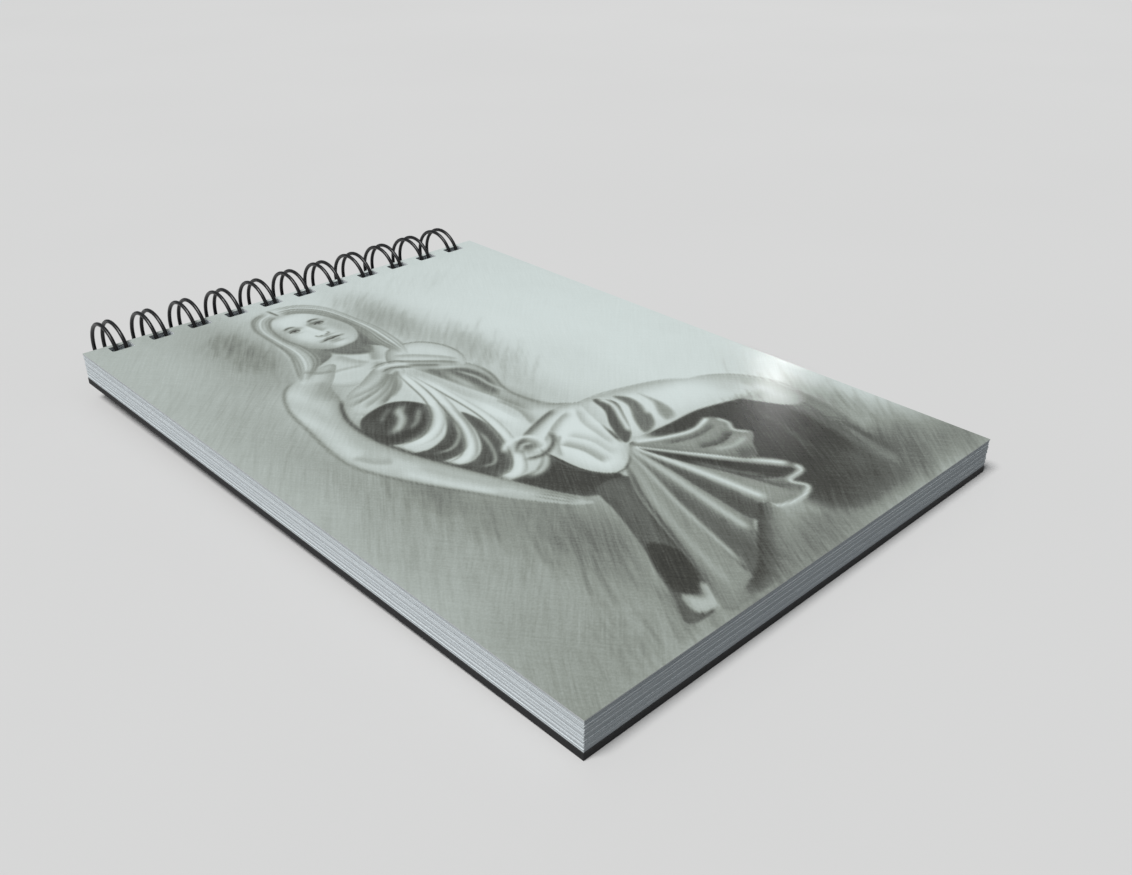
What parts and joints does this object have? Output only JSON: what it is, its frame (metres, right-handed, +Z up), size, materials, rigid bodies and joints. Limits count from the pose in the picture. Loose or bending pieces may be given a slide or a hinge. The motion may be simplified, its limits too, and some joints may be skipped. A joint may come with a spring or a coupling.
{
  "type": "sketchbook",
  "caption": "Wire-bound portrait sketchbook: drawing leaves and a picture cover that turn on a twin-loop wire, over a stiff black back board.",
  "frame": {"origin": "middle of the book's footprint at the height of the lowest point of the wire loops", "axes": "+Z up out of the front cover, +Y across the sheets towards the binding, +X along the binding"},
  "size_m": [0.148, 0.2256, 0.0202],
  "materials": {
    "printed_cover_card": "satin laminated card printed with a pencil figure study",
    "drawing_paper": "uncoated fine-grain drawing paper",
    "black_card_core": "through-dyed dense black board",
    "black_lining_paper": "black covering paper with a fine emboss",
    "black_wire_coat": "satin black nylon-coated steel wire"
  },
  "bodies": {
    "back": {"twin_loop_wire": "black_wire_coat", "back_board_core": "black_card_core", "back_board_inner_lining": "black_lining_paper", "back_board_outer_lining": "black_lining_paper"},
    "leaves_01_04": {"leaf_01": "drawing_paper", "leaf_02": "drawing_paper", "leaf_03": "drawing_paper", "leaf_04": "drawing_paper"},
    "leaves_05_08": {"leaf_05": "drawing_paper", "leaf_06": "drawing_paper", "leaf_07": "drawing_paper", "leaf_08": "drawing_paper"},
    "leaves_09_12": {"leaf_09": "drawing_paper", "leaf_10": "drawing_paper", "leaf_11": "drawing_paper", "leaf_12": "drawing_paper"},
    "leaves_13_16": {"leaf_13": "drawing_paper", "leaf_14": "drawing_paper", "leaf_15": "drawing_paper", "leaf_16": "drawing_paper"},
    "leaves_17_20": {"leaf_17": "drawing_paper", "leaf_18": "drawing_paper", "leaf_19": "drawing_paper", "leaf_20": "drawing_paper"},
    "leaves_21_24": {"leaf_21": "drawing_paper", "leaf_22": "drawing_paper", "leaf_23": "drawing_paper", "leaf_24": "drawing_paper"},
    "leaves_25_28": {"leaf_25": "drawing_paper", "leaf_26": "drawing_paper", "leaf_27": "drawing_paper", "leaf_28": "drawing_paper"},
    "leaves_29_32": {"leaf_29": "drawing_paper", "leaf_30": "drawing_paper", "leaf_31": "drawing_paper", "leaf_32": "drawing_paper"},
    "leaves_33_36": {"leaf_33": "drawing_paper", "leaf_34": "drawing_paper", "leaf_35": "drawing_paper", "leaf_36": "drawing_paper"},
    "leaves_37_40": {"leaf_37": "drawing_paper", "leaf_38": "drawing_paper", "leaf_39": "drawing_paper", "leaf_40": "drawing_paper"},
    "cover": {"front_cover": "printed_cover_card"}
  },
  "joints": [
    {"name": "leaves_01_04_turn", "type": "hinge", "parent": "back", "child": "leaves_01_04", "pos_m": [0, 0.1027, 0.0101], "axis": [-1, 0, 0], "range_deg": [0, 7.5]},
    {"name": "leaves_05_08_turn", "type": "hinge", "parent": "leaves_01_04", "child": "leaves_05_08", "pos_m": [0, 0.1027, 0.0101], "axis": [-1, 0, 0], "range_deg": [0, 7.5]},
    {"name": "leaves_09_12_turn", "type": "hinge", "parent": "leaves_05_08", "child": "leaves_09_12", "pos_m": [0, 0.1027, 0.0101], "axis": [-1, 0, 0], "range_deg": [0, 7.5]},
    {"name": "leaves_13_16_turn", "type": "hinge", "parent": "leaves_09_12", "child": "leaves_13_16", "pos_m": [0, 0.1027, 0.0101], "axis": [-1, 0, 0], "range_deg": [0, 7.5]},
    {"name": "leaves_17_20_turn", "type": "hinge", "parent": "leaves_13_16", "child": "leaves_17_20", "pos_m": [0, 0.1027, 0.0101], "axis": [-1, 0, 0], "range_deg": [0, 7.5]},
    {"name": "leaves_21_24_turn", "type": "hinge", "parent": "leaves_17_20", "child": "leaves_21_24", "pos_m": [0, 0.1027, 0.0101], "axis": [-1, 0, 0], "range_deg": [0, 7.5]},
    {"name": "leaves_25_28_turn", "type": "hinge", "parent": "leaves_21_24", "child": "leaves_25_28", "pos_m": [0, 0.1027, 0.0101], "axis": [-1, 0, 0], "range_deg": [0, 7.5]},
    {"name": "leaves_29_32_turn", "type": "hinge", "parent": "leaves_25_28", "child": "leaves_29_32", "pos_m": [0, 0.1027, 0.0101], "axis": [-1, 0, 0], "range_deg": [0, 7.5]},
    {"name": "leaves_33_36_turn", "type": "hinge", "parent": "leaves_29_32", "child": "leaves_33_36", "pos_m": [0, 0.1027, 0.0101], "axis": [-1, 0, 0], "range_deg": [0, 7.5]},
    {"name": "leaves_37_40_turn", "type": "hinge", "parent": "leaves_33_36", "child": "leaves_37_40", "pos_m": [0, 0.1027, 0.0101], "axis": [-1, 0, 0], "range_deg": [0, 7.5]},
    {"name": "cover_turn", "type": "hinge", "parent": "leaves_37_40", "child": "cover", "pos_m": [0, 0.1027, 0.0101], "axis": [-1, 0, 0], "range_deg": [0, 180]}
  ],
  "couplings": [
    {"joint": "leaves_05_08_turn", "follows": "leaves_01_04_turn", "ratio": 1},
    {"joint": "leaves_09_12_turn", "follows": "leaves_01_04_turn", "ratio": 1},
    {"joint": "leaves_13_16_turn", "follows": "leaves_01_04_turn", "ratio": 1},
    {"joint": "leaves_17_20_turn", "follows": "leaves_01_04_turn", "ratio": 1},
    {"joint": "leaves_21_24_turn", "follows": "leaves_01_04_turn", "ratio": 1},
    {"joint": "leaves_25_28_turn", "follows": "leaves_01_04_turn", "ratio": 1},
    {"joint": "leaves_29_32_turn", "follows": "leaves_01_04_turn", "ratio": 1},
    {"joint": "leaves_33_36_turn", "follows": "leaves_01_04_turn", "ratio": 1},
    {"joint": "leaves_37_40_turn", "follows": "leaves_01_04_turn", "ratio": 1}
  ]
}
